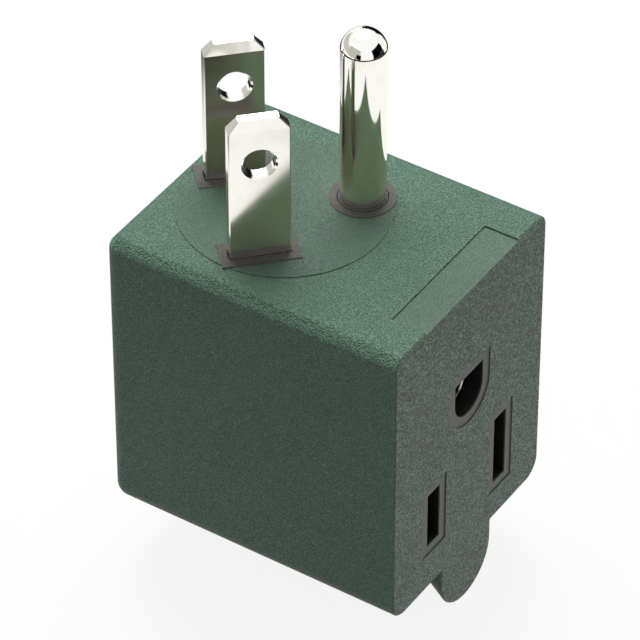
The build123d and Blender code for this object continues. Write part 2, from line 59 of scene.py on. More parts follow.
class NodeTree:
    """Short way to add nodes to a shader tree and to join their sockets."""

    def __init__(self, tree: bpy.types.NodeTree) -> None:
        """Keeps the tree.

        Args:
            tree: The node tree of a material, a world or a node group.
        """
        self.tree = tree

    def add(self, kind: str, **settings: object) -> bpy.types.Node:
        """Adds a node and sets its plain properties.

        Args:
            kind: The node's type name without the ShaderNode prefix, or a full type name.
            settings: Properties of the node.

        Returns:
            The new node.
        """
        full = kind if kind.startswith("NodeGroup") else f"ShaderNode{kind}"
        node = self.tree.nodes.new(full)
        for name, value in settings.items():
            setattr(node, name, value)
        return node

    def feed(self, socket: Socket, value: object) -> None:
        """Joins an output to an input, or sets the input's own value.

        Args:
            socket: The input socket.
            value: An output socket, a number, a vector or a colour.
        """
        if isinstance(value, Socket):
            self.tree.links.new(value, socket)
        elif isinstance(value, tuple) and socket.type == "RGBA" and len(value) == 3:
            socket.default_value = (*value, 1.0)
        else:
            socket.default_value = value

    def math(self, operation: str, *values: object, clamp: bool = False) -> Socket:
        """Adds a Math node.

        Args:
            operation: The node's operation.
            values: Its inputs, each a number or an output socket.
            clamp: Whether the result is held between 0 and 1.

        Returns:
            The node's output.
        """
        node = self.add("Math", operation=operation, use_clamp=clamp)
        for socket, value in zip(node.inputs, values):
            self.feed(socket, value)
        return node.outputs[0]

    def add_part(self, base: object, mask: object, share: float) -> Socket:
        """Adds a share of a mask to a value.

        Args:
            base: The value.
            mask: The mask.
            share: What the full mask adds, less than 0 where it takes away.

        Returns:
            The sum.
        """
        return self.math("ADD", base, self.math("MULTIPLY", mask, share))

    def vector(self, operation: str, *values: object) -> bpy.types.Node:
        """Adds a Vector Math node.

        Args:
            operation: The node's operation.
            values: Its vector inputs.

        Returns:
            The node.
        """
        node = self.add("VectorMath", operation=operation)
        for socket, value in zip(node.inputs, values):
            self.feed(socket, value)
        return node

    def part(self, vector: Socket, axis: int) -> Socket:
        """Takes one part of a vector.

        Args:
            vector: The vector.
            axis: 0, 1 or 2 for x, y or z.

        Returns:
            The part.
        """
        parts = self.add("SeparateXYZ")
        self.feed(parts.inputs[0], vector)
        return parts.outputs[axis]

    def join(self, *parts: object) -> Socket:
        """Makes a vector of its parts.

        Args:
            parts: Two or three parts; a third that is left out is 0.

        Returns:
            The vector.
        """
        whole = self.add("CombineXYZ")
        for socket, value in zip(whole.inputs, parts):
            self.feed(socket, value)
        return whole.outputs[0]

    def shade(self, tone: Socket, factor: object) -> Socket:
        """Multiplies a colour by a number.

        Args:
            tone: The colour.
            factor: The number, or an output socket.

        Returns:
            The shaded colour.
        """
        node = self.vector("SCALE", tone)
        self.feed(node.inputs["Scale"], factor)
        return node.outputs[0]

    def blend(self, factor: object, first: object, second: object) -> Socket:
        """Mixes two colours.

        Args:
            factor: Share of the second colour.
            first: The first colour.
            second: The second colour.

        Returns:
            The mixed colour.
        """
        node = self.add("Mix", data_type="RGBA")
        for index, value in ((0, factor), (6, first), (7, second)):
            self.feed(node.inputs[index], value)
        return node.outputs[2]

    def blend_values(self, factor: object, first: object, second: object) -> Socket:
        """Mixes two numbers.

        Args:
            factor: Share of the second number.
            first: The first number.
            second: The second number.

        Returns:
            The mixed number.
        """
        node = self.add("Mix", data_type="FLOAT")
        for index, value in ((0, factor), (2, first), (3, second)):
            self.feed(node.inputs[index], value)
        return node.outputs[0]

    def blend_shaders(self, factor: object, first: Socket, second: Socket) -> Socket:
        """Mixes two shaders.

        Args:
            factor: Share of the second shader.
            first: The first shader.
            second: The second shader.

        Returns:
            The mixed shader.
        """
        node = self.add("MixShader")
        for socket, value in zip(node.inputs, (factor, first, second)):
            self.feed(socket, value)
        return node.outputs[0]

    def ramp(self, value: object, low: float, high: float, smooth: bool = True) -> Socket:
        """Maps a range to 0 to 1.

        Args:
            value: The value that is mapped.
            low: Where the result is 0.
            high: Where the result is 1.
            smooth: Whether the ends are eased.

        Returns:
            The mapped value.
        """
        node = self.add("MapRange", interpolation_type="SMOOTHSTEP" if smooth else "LINEAR")
        for socket, entry in zip(node.inputs, (value, low, high, 0.0, 1.0)):
            self.feed(socket, entry)
        return node.outputs[0]

    def band(self, value: object, reach: Range, soft: float) -> Socket:
        """Soft-edged mask of a range of values.

        Args:
            value: The value that is tested.
            reach: Where the band starts and ends.
            soft: Half the width of its soft edges.

        Returns:
            The mask.
        """
        low, high = reach
        rise = self.ramp(value, low - soft, low + soft)
        fall = self.ramp(value, high + soft, high - soft)
        return self.math("MULTIPLY", rise, fall)

    def noise(self, vector: object, scale: object, detail: float, roughness: float) -> Socket:
        """Adds a noise texture.

        Args:
            vector: Coordinates in metres.
            scale: Waves per metre.
            detail: Octaves.
            roughness: Strength of the finer octaves.

        Returns:
            The noise's value.
        """
        node = self.add("TexNoise")
        entries = {"Vector": vector, "Scale": scale, "Detail": detail, "Roughness": roughness}
        for name, value in entries.items():
            self.feed(node.inputs[name], value)
        return node.outputs[0]

    def cells(self, vector: object, scale: object) -> bpy.types.Node:
        """Adds a cell texture.

        Args:
            vector: Coordinates in metres.
            scale: Cells per metre.

        Returns:
            The texture's node.
        """
        node = self.add("TexVoronoi", feature="F1")
        self.feed(node.inputs["Vector"], vector)
        self.feed(node.inputs["Scale"], scale)
        return node

    def bump(self, height: Socket, strength: float, distance: float) -> Socket:
        """Turns a height into a normal.

        Args:
            height: The height, 0 to 1.
            strength: Share of the bump.
            distance: What a height of 1 stands for, in millimetres.

        Returns:
            The normal.
        """
        node = self.add("Bump")
        self.feed(node.inputs["Height"], height)
        node.inputs["Strength"].default_value = strength
        node.inputs["Distance"].default_value = distance * MM
        return node.outputs[0]

    def where(self) -> Socket:
        """Object coordinates in metres."""
        return self.add("TexCoord").outputs["Object"]

    def facing(self, way: Facing, cosines: Range) -> Socket:
        """Mask of the faces that look one way.

        Args:
            way: The way that they look.
            cosines: Cosines at which the mask starts and is full.

        Returns:
            The mask.
        """
        axis, sign = way.value
        normal = self.add("TexCoord").outputs["Normal"]
        return self.ramp(self.math("MULTIPLY", self.part(normal, axis), sign), *cosines)

    def place_group(self, name: str, **values: float) -> bpy.types.Node:
        """Places a node group.

        Args:
            name: The group's name.
            values: The group's inputs.

        Returns:
            The group node.
        """
        node = self.add("Group", node_tree=bpy.data.node_groups[name])
        for key, value in values.items():
            self.feed(node.inputs[key], value)
        return node


def new_group(
    name: str, inputs: dict[str, float], outputs: tuple[str, ...]
) -> tuple[NodeTree, dict[str, Socket], dict[str, Socket]]:
    """Starts a shader node group.

    Args:
        name: The group's name.
        inputs: Inputs with their default values.
        outputs: Names of its outputs, each a single value.

    Returns:
        The group's tree, its input sockets inside and its output sockets inside.
    """
    group = bpy.data.node_groups.new(name, "ShaderNodeTree")
    for key, value in inputs.items():
        socket = group.interface.new_socket(key, in_out="INPUT", socket_type="NodeSocketFloat")
        socket.default_value = value
    for key in outputs:
        group.interface.new_socket(key, in_out="OUTPUT", socket_type="NodeSocketFloat")
    tree = NodeTree(group)
    entry = tree.add("NodeGroupInput")
    leave = tree.add("NodeGroupOutput")
    return tree, {k: entry.outputs[k] for k in inputs}, {k: leave.inputs[k] for k in outputs}


@dataclass(frozen=True)
class SparkGrain:
    """Fine pitted grain of a spark-eroded mould, as a height and a speckle mask."""

    name: str = "spark_grain"
    size: float = 0.2
    pit_detail: float = 1.0
    pit_roughness: float = 0.7
    pit_range: Range = (0.30, 0.70)
    pit_share: float = 0.35
    grit_range: Range = (0.40, 0.95)
    grit_share: float = 0.65

    def build(self) -> None:
        """Builds the node group."""
        tree, given, out = new_group(self.name, {"Size": self.size}, ("Height", "Speckle"))
        where = tree.where()
        scale = tree.math("DIVIDE", 1.0 / MM, given["Size"])
        pits = tree.noise(where, scale, self.pit_detail, self.pit_roughness)
        grit = tree.add("SeparateColor")
        tree.feed(grit.inputs[0], tree.cells(where, scale).outputs["Color"])
        mixed = tree.add_part(
            tree.math("MULTIPLY", tree.ramp(pits, *self.pit_range, smooth=False), self.pit_share),
            tree.ramp(grit.outputs[0], *self.grit_range),
            self.grit_share,
        )
        tree.feed(out["Height"], mixed)
        tree.feed(out["Speckle"], mixed)


@dataclass(frozen=True)
class PebbleGrain:
    """Rounded pebble grain: low cushions between fine creases, as a height."""

    name: str = "pebble_grain"
    size: float = 0.2
    cushion_range: Range = (0.65, 0.10)
    cushion_share: float = 0.75
    swell_scale: float = 0.35
    swell_detail: float = 2.0
    swell_roughness: float = 0.6
    swell_share: float = 0.25

    def build(self) -> None:
        """Builds the node group."""
        tree, given, out = new_group(self.name, {"Size": self.size}, ("Height",))
        where = tree.where()
        scale = tree.math("DIVIDE", 1.0 / MM, given["Size"])
        cushion = tree.ramp(tree.cells(where, scale).outputs["Distance"], *self.cushion_range)
        wide = tree.math("MULTIPLY", scale, self.swell_scale)
        swell = tree.noise(where, wide, self.swell_detail, self.swell_roughness)
        mixed = tree.add_part(tree.math("MULTIPLY", cushion, self.cushion_share), swell, self.swell_share)
        tree.feed(out["Height"], mixed)


@dataclass(frozen=True)
class EdgeWear:
    """Mask of worn edges: where a rounded edge's normal leaves the face's, broken up by noise."""

    name: str = "edge_wear"
    width: float = 0.2
    samples: int = 4
    turn_range: Range = (0.01, 0.2)
    noise_scale: float = 900.0
    noise_detail: float = 3.0
    noise_roughness: float = 0.6
    noise_range: Range = (0.35, 0.7)
    steady_share: float = 0.4

    def build(self) -> None:
        """Builds the node group."""
        tree, given, out = new_group(self.name, {"Width": self.width, "Amount": 1.0}, ("Mask",))
        bevel = tree.add("Bevel", samples=self.samples)
        tree.feed(bevel.inputs["Radius"], tree.math("MULTIPLY", given["Width"], MM))
        face = tree.add("NewGeometry").outputs["Normal"]
        turn = tree.math("SUBTRACT", 1.0, tree.vector("DOT_PRODUCT", bevel.outputs[0], face).outputs["Value"])
        edge = tree.ramp(turn, *self.turn_range)
        noise = tree.noise(tree.where(), self.noise_scale, self.noise_detail, self.noise_roughness)
        broken = tree.ramp(noise, *self.noise_range)
        mask = tree.math("MULTIPLY", edge, tree.add_part(self.steady_share, broken, 1.0 - self.steady_share))
        tree.feed(out["Mask"], tree.math("MULTIPLY", mask, given["Amount"], clamp=True))


@dataclass(frozen=True)
class Hairlines:
    """Fine scratches that run along z, in patches, as a mask."""

    name: str = "hairlines"
    stretch: float = 20.0
    line_scale: float = 9000.0
    line_detail: float = 2.0
    line_roughness: float = 0.6
    line_range: Range = (0.5, 0.75)
    patch_scale: float = 350.0
    patch_detail: float = 2.0
    patch_roughness: float = 0.5
    patch_range: Range = (0.4, 0.7)

    def build(self) -> None:
        """Builds the node group."""
        tree, given, out = new_group(self.name, {"Stretch": self.stretch}, ("Mask",))
        where = tree.where()
        squeeze = tree.join(1.0, 1.0, tree.math("DIVIDE", 1.0, given["Stretch"]))
        drawn = tree.vector("MULTIPLY", where, squeeze).outputs[0]
        lines = tree.noise(drawn, self.line_scale, self.line_detail, self.line_roughness)
        patches = tree.noise(where, self.patch_scale, self.patch_detail, self.patch_roughness)
        shown = tree.ramp(patches, *self.patch_range)
        tree.feed(out["Mask"], tree.math("MULTIPLY", tree.ramp(lines, *self.line_range), shown))


def empty_material(name: str) -> tuple[bpy.types.Material, NodeTree]:
    """Makes a material with an empty tree.

    Args:
        name: The material's name.

    Returns:
        The material and its tree.
    """
    material = bpy.data.materials.new(name)
    material.use_nodes = True
    material.node_tree.nodes.clear()
    return material, NodeTree(material.node_tree)


def start_material(name: str) -> tuple[bpy.types.Material, NodeTree, bpy.types.Node]:
    """Makes a material with a Principled BSDF.

    Args:
        name: The material's name.

    Returns:
        The material, its tree and its BSDF.
    """
    material, tree = empty_material(name)
    shader = tree.add("BsdfPrincipled")
    tree.feed(tree.add("OutputMaterial").inputs["Surface"], shader.outputs[0])
    return material, tree, shader


@dataclass(frozen=True)
class JacketMasks:
    """Where the jacket's surface differs: the plug face, the outlet face, the disc and the label panel."""

    plug: Socket
    outlet: Socket
    disc: Socket
    panel: Socket


@dataclass(frozen=True)
class JacketFinish:
    """Green moulded jacket: pebble grain on the plug face, spark grain on the sides, smooth disc, and painted
    light, shade, haze and reflections.
    """

    # Colours
    green: Colour = (0.083, 0.156, 0.110)
    # Painted haze: the outlet face's green greyed as if by a sheen of light
    outlet_painted_haze: Colour = (0.188, 0.242, 0.196)
    worn: Colour = (0.230, 0.300, 0.250)
    # Painted reflections: plain colours that the blades and the pin see in place of the jacket
    painted_reflection_tone: Colour = (0.055, 0.089, 0.041)
    painted_shade_twice_reflected: Colour = (0.026, 0.038, 0.008)
    # Painted shade: the faces that look up are darkened and tinted
    plug_painted_shade_tint: Colour = (0.69, 0.78, 0.73)
    # How far the grain's specks go from the plain colour, and their share on each face
    darker: float = 0.08
    lighter: float = 3.05
    side_share: float = 0.74
    outlet_share: float = 0.26
    plug_share: float = -0.57
    disc_share: float = -0.10
    # Painted shade on the disc and the panel, painted light on the rounded edges, soft clouds and wear
    disc_painted_shade: float = -0.28
    panel_painted_shade: float = -0.20
    edge_painted_light: float = 0.38
    cloud_scale: float = 110.0
    cloud_detail: float = 2.0
    cloud_roughness: float = 0.5
    cloud_range: Range = (0.3, 0.7)
    cloud_tones: Range = (0.98, 1.06)
    wear_width: float = 0.35
    wear_amount: float = 0.5
    wear_tone: float = 0.35
    # Sheen
    roughness: float = 0.52
    speckle_roughness: float = 0.08
    wear_roughness: float = -0.1
    specular: float = 0.40
    # Grain sizes and heights, in millimetres, and how much calmer it is on flat faces
    pebble_size: float = 0.19
    side_grain: float = 0.105
    outlet_grain: float = 0.145
    bump_height: float = 0.15
    pebble_height: float = 1.3
    flat_calm: float = -0.52
    disc_calm: float = 0.45
    panel_calm: float = 0.5
    # Where the faces, the disc and the panel are: cosines of the normal, and millimetres
    plug_cosines: Range = (0.15, 0.75)
    outlet_cosines: Range = (0.90, 0.99)
    disc_cosines: Range = (0.90, 0.99)
    panel_cosines: Range = (0.97, 0.995)
    plug_shade_cosines: Range = (0.60, 0.97)
    flat_cosines: Range = (0.80, 0.99)
    rounding_starts: Range = (0.10, 0.40)
    rounding_ends: Range = (0.92, 0.60)
    disc_radius: float = 11.0
    disc_soft: float = 0.05
    panel_level: Range = (-0.20, -0.24)
    # Painted shade in what the far blade mirrors: the ground between the blades, and reflections of
    # reflections
    between_blades: tuple[float, float, float] = (-2.2, 3.2, 0.0)
    between_reach: Range = (8.5, 5.5)
    second_bounce: Range = (1.2, 1.8)

    def masks(self, tree: NodeTree, where: Socket) -> JacketMasks:
        """Finds the faces.

        Args:
            tree: The material's tree.
            where: Object coordinates.

        Returns:
            The masks.
        """
        flat = tree.join(tree.part(where, 0), tree.part(where, 1))
        reach = tree.vector("LENGTH", flat).outputs["Value"]
        rim, soft = self.disc_radius * MM, self.disc_soft * MM
        inside = tree.ramp(reach, rim + soft, rim - soft)
        sunk = tree.ramp(tree.part(where, 2), *(MM * level for level in self.panel_level))
        return JacketMasks(
            plug=tree.facing(Facing.PRONGS, self.plug_cosines),
            outlet=tree.facing(Facing.OUTLET, self.outlet_cosines),
            disc=tree.math("MULTIPLY", inside, tree.facing(Facing.PRONGS, self.disc_cosines)),
            panel=tree.math("MULTIPLY", sunk, tree.facing(Facing.PRONGS, self.panel_cosines)),
        )

    def grained_tone(self, tree: NodeTree, at: JacketMasks, speckle: Socket) -> Socket:
        """Colour of each face with the specks of its grain, and a painted haze that greys the outlet face.

        Args:
            tree: The material's tree.
            at: The masks.
            speckle: The grain's speckle mask.

        Returns:
            The colour.
        """
        # Painted haze greys the outlet face
        tone = tree.blend(at.outlet, self.green, self.outlet_painted_haze)
        grained = tree.blend(speckle, tree.shade(tone, self.darker), tree.shade(tone, self.lighter))
        share = tree.add_part(self.side_share, at.outlet, self.outlet_share)
        share = tree.add_part(share, at.plug, self.plug_share)
        share = tree.add_part(share, at.disc, self.disc_share)
        return tree.blend(share, tone, grained)

    def painted_light_tone(self, tree: NodeTree, at: JacketMasks, tone: Socket) -> Socket:
        """Colour with painted light: painted shade that darkens and tints the plug face, the disc and the
        panel, and painted light on the rounded edges.

        Args:
            tree: The material's tree.
            at: The masks.
            tone: The grained colour.

        Returns:
            The colour.
        """
        # Painted shade darkens and tints the faces that look up
        shaded_plug = tree.vector("MULTIPLY", tone, self.plug_painted_shade_tint).outputs[0]
        tone = tree.blend(tree.facing(Facing.PRONGS, self.plug_shade_cosines), tone, shaded_plug)
        rounding = tree.math(
            "MULTIPLY",
            tree.facing(Facing.PRONGS, self.rounding_starts),
            tree.facing(Facing.PRONGS, self.rounding_ends),
        )
        # Painted light on the rounded edges, painted shade on the disc and the panel
        masks = (rounding, at.disc, at.panel)
        for mask, shade in zip(masks, (self.edge_painted_light, self.disc_painted_shade, self.panel_painted_shade)):
            tone = tree.shade(tone, tree.add_part(1.0, mask, shade))
        return tone

    def painted_reflection_colour(self, tree: NodeTree, where: Socket, tone: Socket) -> Socket:
        """Swaps the colour for a painted reflection where a blade or the pin mirrors the jacket, with painted
        shade between the blades and in reflections of reflections.

        Args:
            tree: The material's tree.
            where: Object coordinates.
            tone: The colour that the camera sees.

        Returns:
            The colour.
        """
        path = tree.add("LightPath").outputs
        spot = tuple(MM * part for part in self.between_blades)
        reach = tree.vector("DISTANCE", where, spot).outputs["Value"]
        # Painted shade in reflections near the blades and in reflections of reflections
        between = tree.ramp(reach, *(MM * edge for edge in self.between_reach))
        twice = tree.math("MAXIMUM", between, tree.ramp(path["Glossy Depth"], *self.second_bounce))
        seen = tree.blend(twice, self.painted_reflection_tone, self.painted_shade_twice_reflected)
        return tree.blend(path["Is Glossy Ray"], tone, seen)

    def relief(self, tree: NodeTree, at: JacketMasks, side: Socket, pebbles: Socket) -> Socket:
        """Height of the grain.

        Args:
            tree: The material's tree.
            at: The masks.
            side: Height of the grain on the sides.
            pebbles: Height of the pebbles.

        Returns:
            The height.
        """
        height = tree.blend_values(at.plug, side, tree.math("MULTIPLY", pebbles, self.pebble_height))
        calm = tree.add_part(1.0, tree.facing(Facing.PRONGS, self.flat_cosines), self.flat_calm)
        smooth = tree.math(
            "ADD",
            tree.math("MULTIPLY", at.disc, self.disc_calm),
            tree.math("MULTIPLY", at.panel, self.panel_calm),
            clamp=True,
        )
        calm = tree.math("MULTIPLY", calm, tree.math("SUBTRACT", 1.0, smooth))
        return tree.math("MULTIPLY", height, calm)

    def make(self) -> bpy.types.Material:
        """Builds the material.

        Returns:
            The jacket's material.
        """
        material, tree, shader = start_material("jacket_green")
        where = tree.where()
        at = self.masks(tree, where)
        fine = tree.place_group("spark_grain", Size=self.side_grain).outputs
        coarse = tree.place_group("spark_grain", Size=self.outlet_grain).outputs
        pebbles = tree.place_group("pebble_grain", Size=self.pebble_size).outputs
        wear = tree.place_group("edge_wear", Width=self.wear_width, Amount=self.wear_amount).outputs["Mask"]
        noise = tree.noise(where, self.cloud_scale, self.cloud_detail, self.cloud_roughness)
        cloud = tree.ramp(noise, *self.cloud_range)
        tone = self.grained_tone(tree, at, tree.blend(at.outlet, fine["Speckle"], coarse["Speckle"]))
        tone = self.painted_light_tone(tree, at, tone)
        dim, bright = self.cloud_tones
        tone = tree.blend(cloud, tree.shade(tone, dim), tree.shade(tone, bright))
        tone = tree.blend(tree.math("MULTIPLY", wear, self.wear_tone), tone, self.worn)
        tree.feed(shader.inputs["Base Color"], self.painted_reflection_colour(tree, where, tone))
        shader.inputs["Specular IOR Level"].default_value = self.specular
        rough = tree.add_part(self.roughness, fine["Speckle"], self.speckle_roughness)
        tree.feed(shader.inputs["Roughness"], tree.add_part(rough, wear, self.wear_roughness))
        side = tree.blend(at.outlet, fine["Height"], coarse["Height"])
        height = self.relief(tree, at, side, pebbles["Height"])
        tree.feed(shader.inputs["Normal"], tree.bump(height, 1.0, self.bump_height))
        return material


@dataclass(frozen=True)
class MouldingFinish:
    """Grey-brown inner moulding with a soft sheen, painted light on the collar walls and rims, and painted
    shade inside the openings and in reflections of reflections.
    """

    brown: Colour = (0.036, 0.035, 0.030)
    light: Colour = (0.046, 0.045, 0.039)
    # Painted light: lighter copies of the moulding's colour on the collar walls and the outlet rims; painted
    # shade inside the openings and in reflections of reflections
    wall_painted_light: Colour = (0.250, 0.190, 0.140)
    rim: Colour = (0.262, 0.260, 0.245)
    inside: Colour = (0.004, 0.004, 0.004)
    painted_shade_twice_reflected: Colour = (0.014, 0.007, 0.003)
    cloud_scale: float = 400.0
    cloud_detail: float = 3.0
    cloud_roughness: float = 0.55
    cloud_range: Range = (0.3, 0.7)
    cloud_tone: float = 0.4
    wear_width: float = 0.12
    wear_amount: float = 0.6
    wear_tone: float = 0.5
    roughness: float = 0.5
    speckle_roughness: float = 0.1
    specular: float = 0.38
    spark_size: float = 0.22
    bump_strength: float = 0.5
    bump_height: float = 0.03
    # Where the collars' walls, the outlet plate and the depth of its openings are
    wall_cosines: Range = (0.8, 0.3)
    plate_level: Range = (-9.0, -9.5)
    inside_reach: Range = (-22.13, -21.90)
    second_bounce: Range = (1.2, 1.8)

    def make(self) -> bpy.types.Material:
        """Builds the material.

        Returns:
            The moulding's material.
        """
        material, tree, shader = start_material("moulding_taupe")
        where = tree.where()
        spark = tree.place_group("spark_grain", Size=self.spark_size).outputs
        wear = tree.place_group("edge_wear", Width=self.wear_width, Amount=self.wear_amount).outputs["Mask"]
        noise = tree.noise(where, self.cloud_scale, self.cloud_detail, self.cloud_roughness)
        cloud = tree.ramp(noise, *self.cloud_range)
        tone = tree.blend(tree.math("MULTIPLY", cloud, self.cloud_tone), self.brown, self.light)
        tone = tree.blend(tree.math("MULTIPLY", wear, self.wear_tone), tone, self.light)
        # Painted light on the collar walls
        tone = tree.blend(tree.facing(Facing.PRONGS, self.wall_cosines), tone, self.wall_painted_light)
        below = tree.ramp(tree.part(where, 2), *(MM * level for level in self.plate_level))
        behind = tree.ramp(tree.part(where, 1), *(MM * edge for edge in self.inside_reach))
        # Painted light lifts the outlet rims
        tone = tree.blend(below, tone, self.rim)
        # Painted shade inside the openings
        tone = tree.blend(tree.math("MULTIPLY", below, behind), tone, self.inside)
        # Painted shade in reflections of reflections
        bounces = tree.add("LightPath").outputs["Glossy Depth"]
        tone = tree.blend(tree.ramp(bounces, *self.second_bounce), tone, self.painted_shade_twice_reflected)
        tree.feed(shader.inputs["Base Color"], tone)
        shader.inputs["Specular IOR Level"].default_value = self.specular
        rough = tree.add_part(self.roughness, spark["Speckle"], self.speckle_roughness)
        tree.feed(shader.inputs["Roughness"], rough)
        normal = tree.bump(spark["Height"], self.bump_strength, self.bump_height)
        tree.feed(shader.inputs["Normal"], normal)
        return material


@dataclass(frozen=True)
class PlatedFinish:
    """Bright plated metal, with faint hairlines and smudges."""

    name: str
    roughness: float
    bright: Colour = (0.97, 0.965, 0.93)
    dull: Colour = (0.86, 0.84, 0.78)
    line_stretch: float = 24.0
    line_tone: float = 0.3
    line_roughness: float = 0.06
    wear_width: float = 0.08
    wear_amount: float = 0.8
    wear_roughness: float = 0.08
    smudge_scale: float = 260.0
    smudge_detail: float = 3.0
    smudge_spread: float = 0.6
    smudge_range: Range = (0.45, 0.75)
    smudge_tone: float = 0.25
    smudge_roughness: float = 0.03
    bump_strength: float = 0.06
    bump_height: float = 0.004

    def make(self) -> bpy.types.Material:
        """Builds the material.

        Returns:
            The metal's material.
        """
        material, tree, shader = start_material(self.name)
        lines = tree.place_group("hairlines", Stretch=self.line_stretch).outputs["Mask"]
        wear = tree.place_group("edge_wear", Width=self.wear_width, Amount=self.wear_amount).outputs["Mask"]
        noise = tree.noise(tree.where(), self.smudge_scale, self.smudge_detail, self.smudge_spread)
        smudge = tree.ramp(noise, *self.smudge_range)
        dulled = tree.add_part(tree.math("MULTIPLY", smudge, self.smudge_tone), lines, self.line_tone)
        tree.feed(shader.inputs["Base Color"], tree.blend(dulled, self.bright, self.dull))
        shader.inputs["Metallic"].default_value = 1.0
        rough = tree.add_part(self.roughness, lines, self.line_roughness)
        rough = tree.add_part(rough, wear, self.wear_roughness)
        tree.feed(shader.inputs["Roughness"], tree.add_part(rough, smudge, self.smudge_roughness))
        tree.feed(shader.inputs["Normal"], tree.bump(lines, self.bump_strength, self.bump_height))
        return material


@dataclass(frozen=True)
class StripFinish:
    """Rolled brass strip of the straps, contacts and rivets."""

    brass: Colour = (0.62, 0.45, 0.20)
    tarnish: Colour = (0.36, 0.22, 0.09)
    roughness: float = 0.28
    line_stretch: float = 14.0
    line_roughness: float = 0.12
    wear_width: float = 0.1
    wear_amount: float = 0.7
    stain_scale: float = 500.0
    stain_detail: float = 4.0
    stain_spread: float = 0.6
    stain_range: Range = (0.45, 0.75)
    stain_tone: float = 0.6
    stain_roughness: float = 0.15
    bump_strength: float = 0.2
    bump_height: float = 0.01

    def make(self) -> bpy.types.Material:
        """Builds the material.

        Returns:
            The strips' material.
        """
        material, tree, shader = start_material("brass_strip")
        lines = tree.place_group("hairlines", Stretch=self.line_stretch).outputs["Mask"]
        wear = tree.place_group("edge_wear", Width=self.wear_width, Amount=self.wear_amount).outputs["Mask"]
        noise = tree.noise(tree.where(), self.stain_scale, self.stain_detail, self.stain_spread)
        stain = tree.ramp(noise, *self.stain_range)
        tone = tree.blend(tree.math("MULTIPLY", stain, self.stain_tone), self.brass, self.tarnish)
        tree.feed(shader.inputs["Base Color"], tree.blend(wear, tone, self.brass))
        shader.inputs["Metallic"].default_value = 1.0
        rough = tree.add_part(self.roughness, lines, self.line_roughness)
        tree.feed(shader.inputs["Roughness"], tree.add_part(rough, stain, self.stain_roughness))
        tree.feed(shader.inputs["Normal"], tree.bump(lines, self.bump_strength, self.bump_height))
        return material


@dataclass(frozen=True)
class Dressing:
    """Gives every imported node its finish."""

    jacket: tuple[str, ...] = ("outer_jacket",)
    mouldings: tuple[str, ...] = (
        "plug_core",
        "outlet_plate",
        "ground_bush",
        "socket_core",
        "core_back",
        "strap_cover",
        "blade_retainer",
    )
    blades: tuple[str, ...] = ("line_blade", "neutral_blade")
    pin: tuple[str, ...] = ("ground_pin",)
    sprung: tuple[str, ...] = ("ground_contact",)
    strips: tuple[str, ...] = (
        "line_strap",
        "neutral_strap",
        "ground_strap",
        "line_contact",
        "neutral_contact",
        "blade_rivets",
    )
    satin_roughness: float = 0.11
    bright_roughness: float = 0.055
    dull_roughness: float = 0.22
    dull_tones: tuple[Colour, Colour] = ((0.50, 0.48, 0.44), (0.40, 0.38, 0.34))

    def dress(self) -> None:
        """Assigns the finishes to the nodes' material slots."""
        plan = (
            (self.jacket, JacketFinish()),
            (self.mouldings, MouldingFinish()),
            (self.blades, PlatedFinish("plated_satin", self.satin_roughness)),
            (self.pin, PlatedFinish("plated_bright", self.bright_roughness)),
            (self.sprung, PlatedFinish("plated_dull", self.dull_roughness, *self.dull_tones)),
            (self.strips, StripFinish()),
        )
        for names, finish in plan:
            material = finish.make()
            for name in names:
                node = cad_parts[name]
                node.data.materials.clear()
                node.data.materials.append(material)
                log.info("%s: %s", name, material.name)


def link_mesh(name: str, mesh: bmesh.types.BMesh) -> bpy.types.Object:
    """Turns a bmesh into an object of the scene.

    Args:
        name: The object's name.
        mesh: The bmesh, which is freed.

    Returns:
        The object.
    """
    data = bpy.data.meshes.new(name)
    mesh.to_mesh(data)
    mesh.free()
    return link_object(name, data)


def link_object(name: str, data: bpy.types.ID) -> bpy.types.Object:
    """Makes an object of its data and puts it in the scene.

    Args:
        name: The object's name.
        data: Its mesh, lamp or camera.

    Returns:
        The object.
    """
    thing = bpy.data.objects.new(name, data)
    bpy.context.scene.collection.objects.link(thing)
    return thing


def aim(place: Vector, target: Vector) -> Matrix:
    """World matrix of a thing at a place whose -Z axis looks at a target.

    Args:
        place: Where the thing stands.
        target: What it looks at.

    Returns:
        The matrix.
    """
    turn = (target - place).to_track_quat("-Z", "Y").to_matrix().to_4x4()
    return Matrix.Translation(place) @ turn


def direction(azimuth: float, elevation: float) -> Vector:
    """Unit vector from an azimuth, counted from +X, and an elevation, both in degrees."""
    a, e = math.radians(azimuth), math.radians(elevation)
    return Vector((math.cos(a) * math.cos(e), math.sin(a) * math.cos(e), math.sin(e)))


@dataclass(frozen=True)
class Card:
    """Flat card beside the object that only reflections see."""

    name: str
    azimuth: float
    elevation: float
    width: float
    height: float
    shade: Colour = BLACK
    distance: float = 0.6

    def build(self, centre: Vector) -> None:
        """Stands the card up, facing the object.

        Args:
            centre: The object's middle.
        """
        mesh = bmesh.new()
        bmesh.ops.create_grid(mesh, x_segments=1, y_segments=1, size=0.5)
        bmesh.ops.scale(mesh, vec=(self.width, self.height, 1.0), verts=mesh.verts)
        place = centre + direction(self.azimuth, self.elevation) * self.distance
        bmesh.ops.transform(mesh, matrix=aim(place, centre), verts=mesh.verts)
        card = link_mesh(self.name, mesh)
        material, tree = empty_material(self.name)
        glow = tree.add("Emission")
        tree.feed(glow.inputs["Color"], self.shade)
        tree.feed(tree.add("OutputMaterial").inputs["Surface"], glow.outputs[0])
        card.data.materials.append(material)
        card.visible_camera = False
        card.visible_diffuse = False
        card.visible_shadow = False
        card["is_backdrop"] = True
        log.info("%s: %.2f x %.2f m", self.name, self.width, self.height)


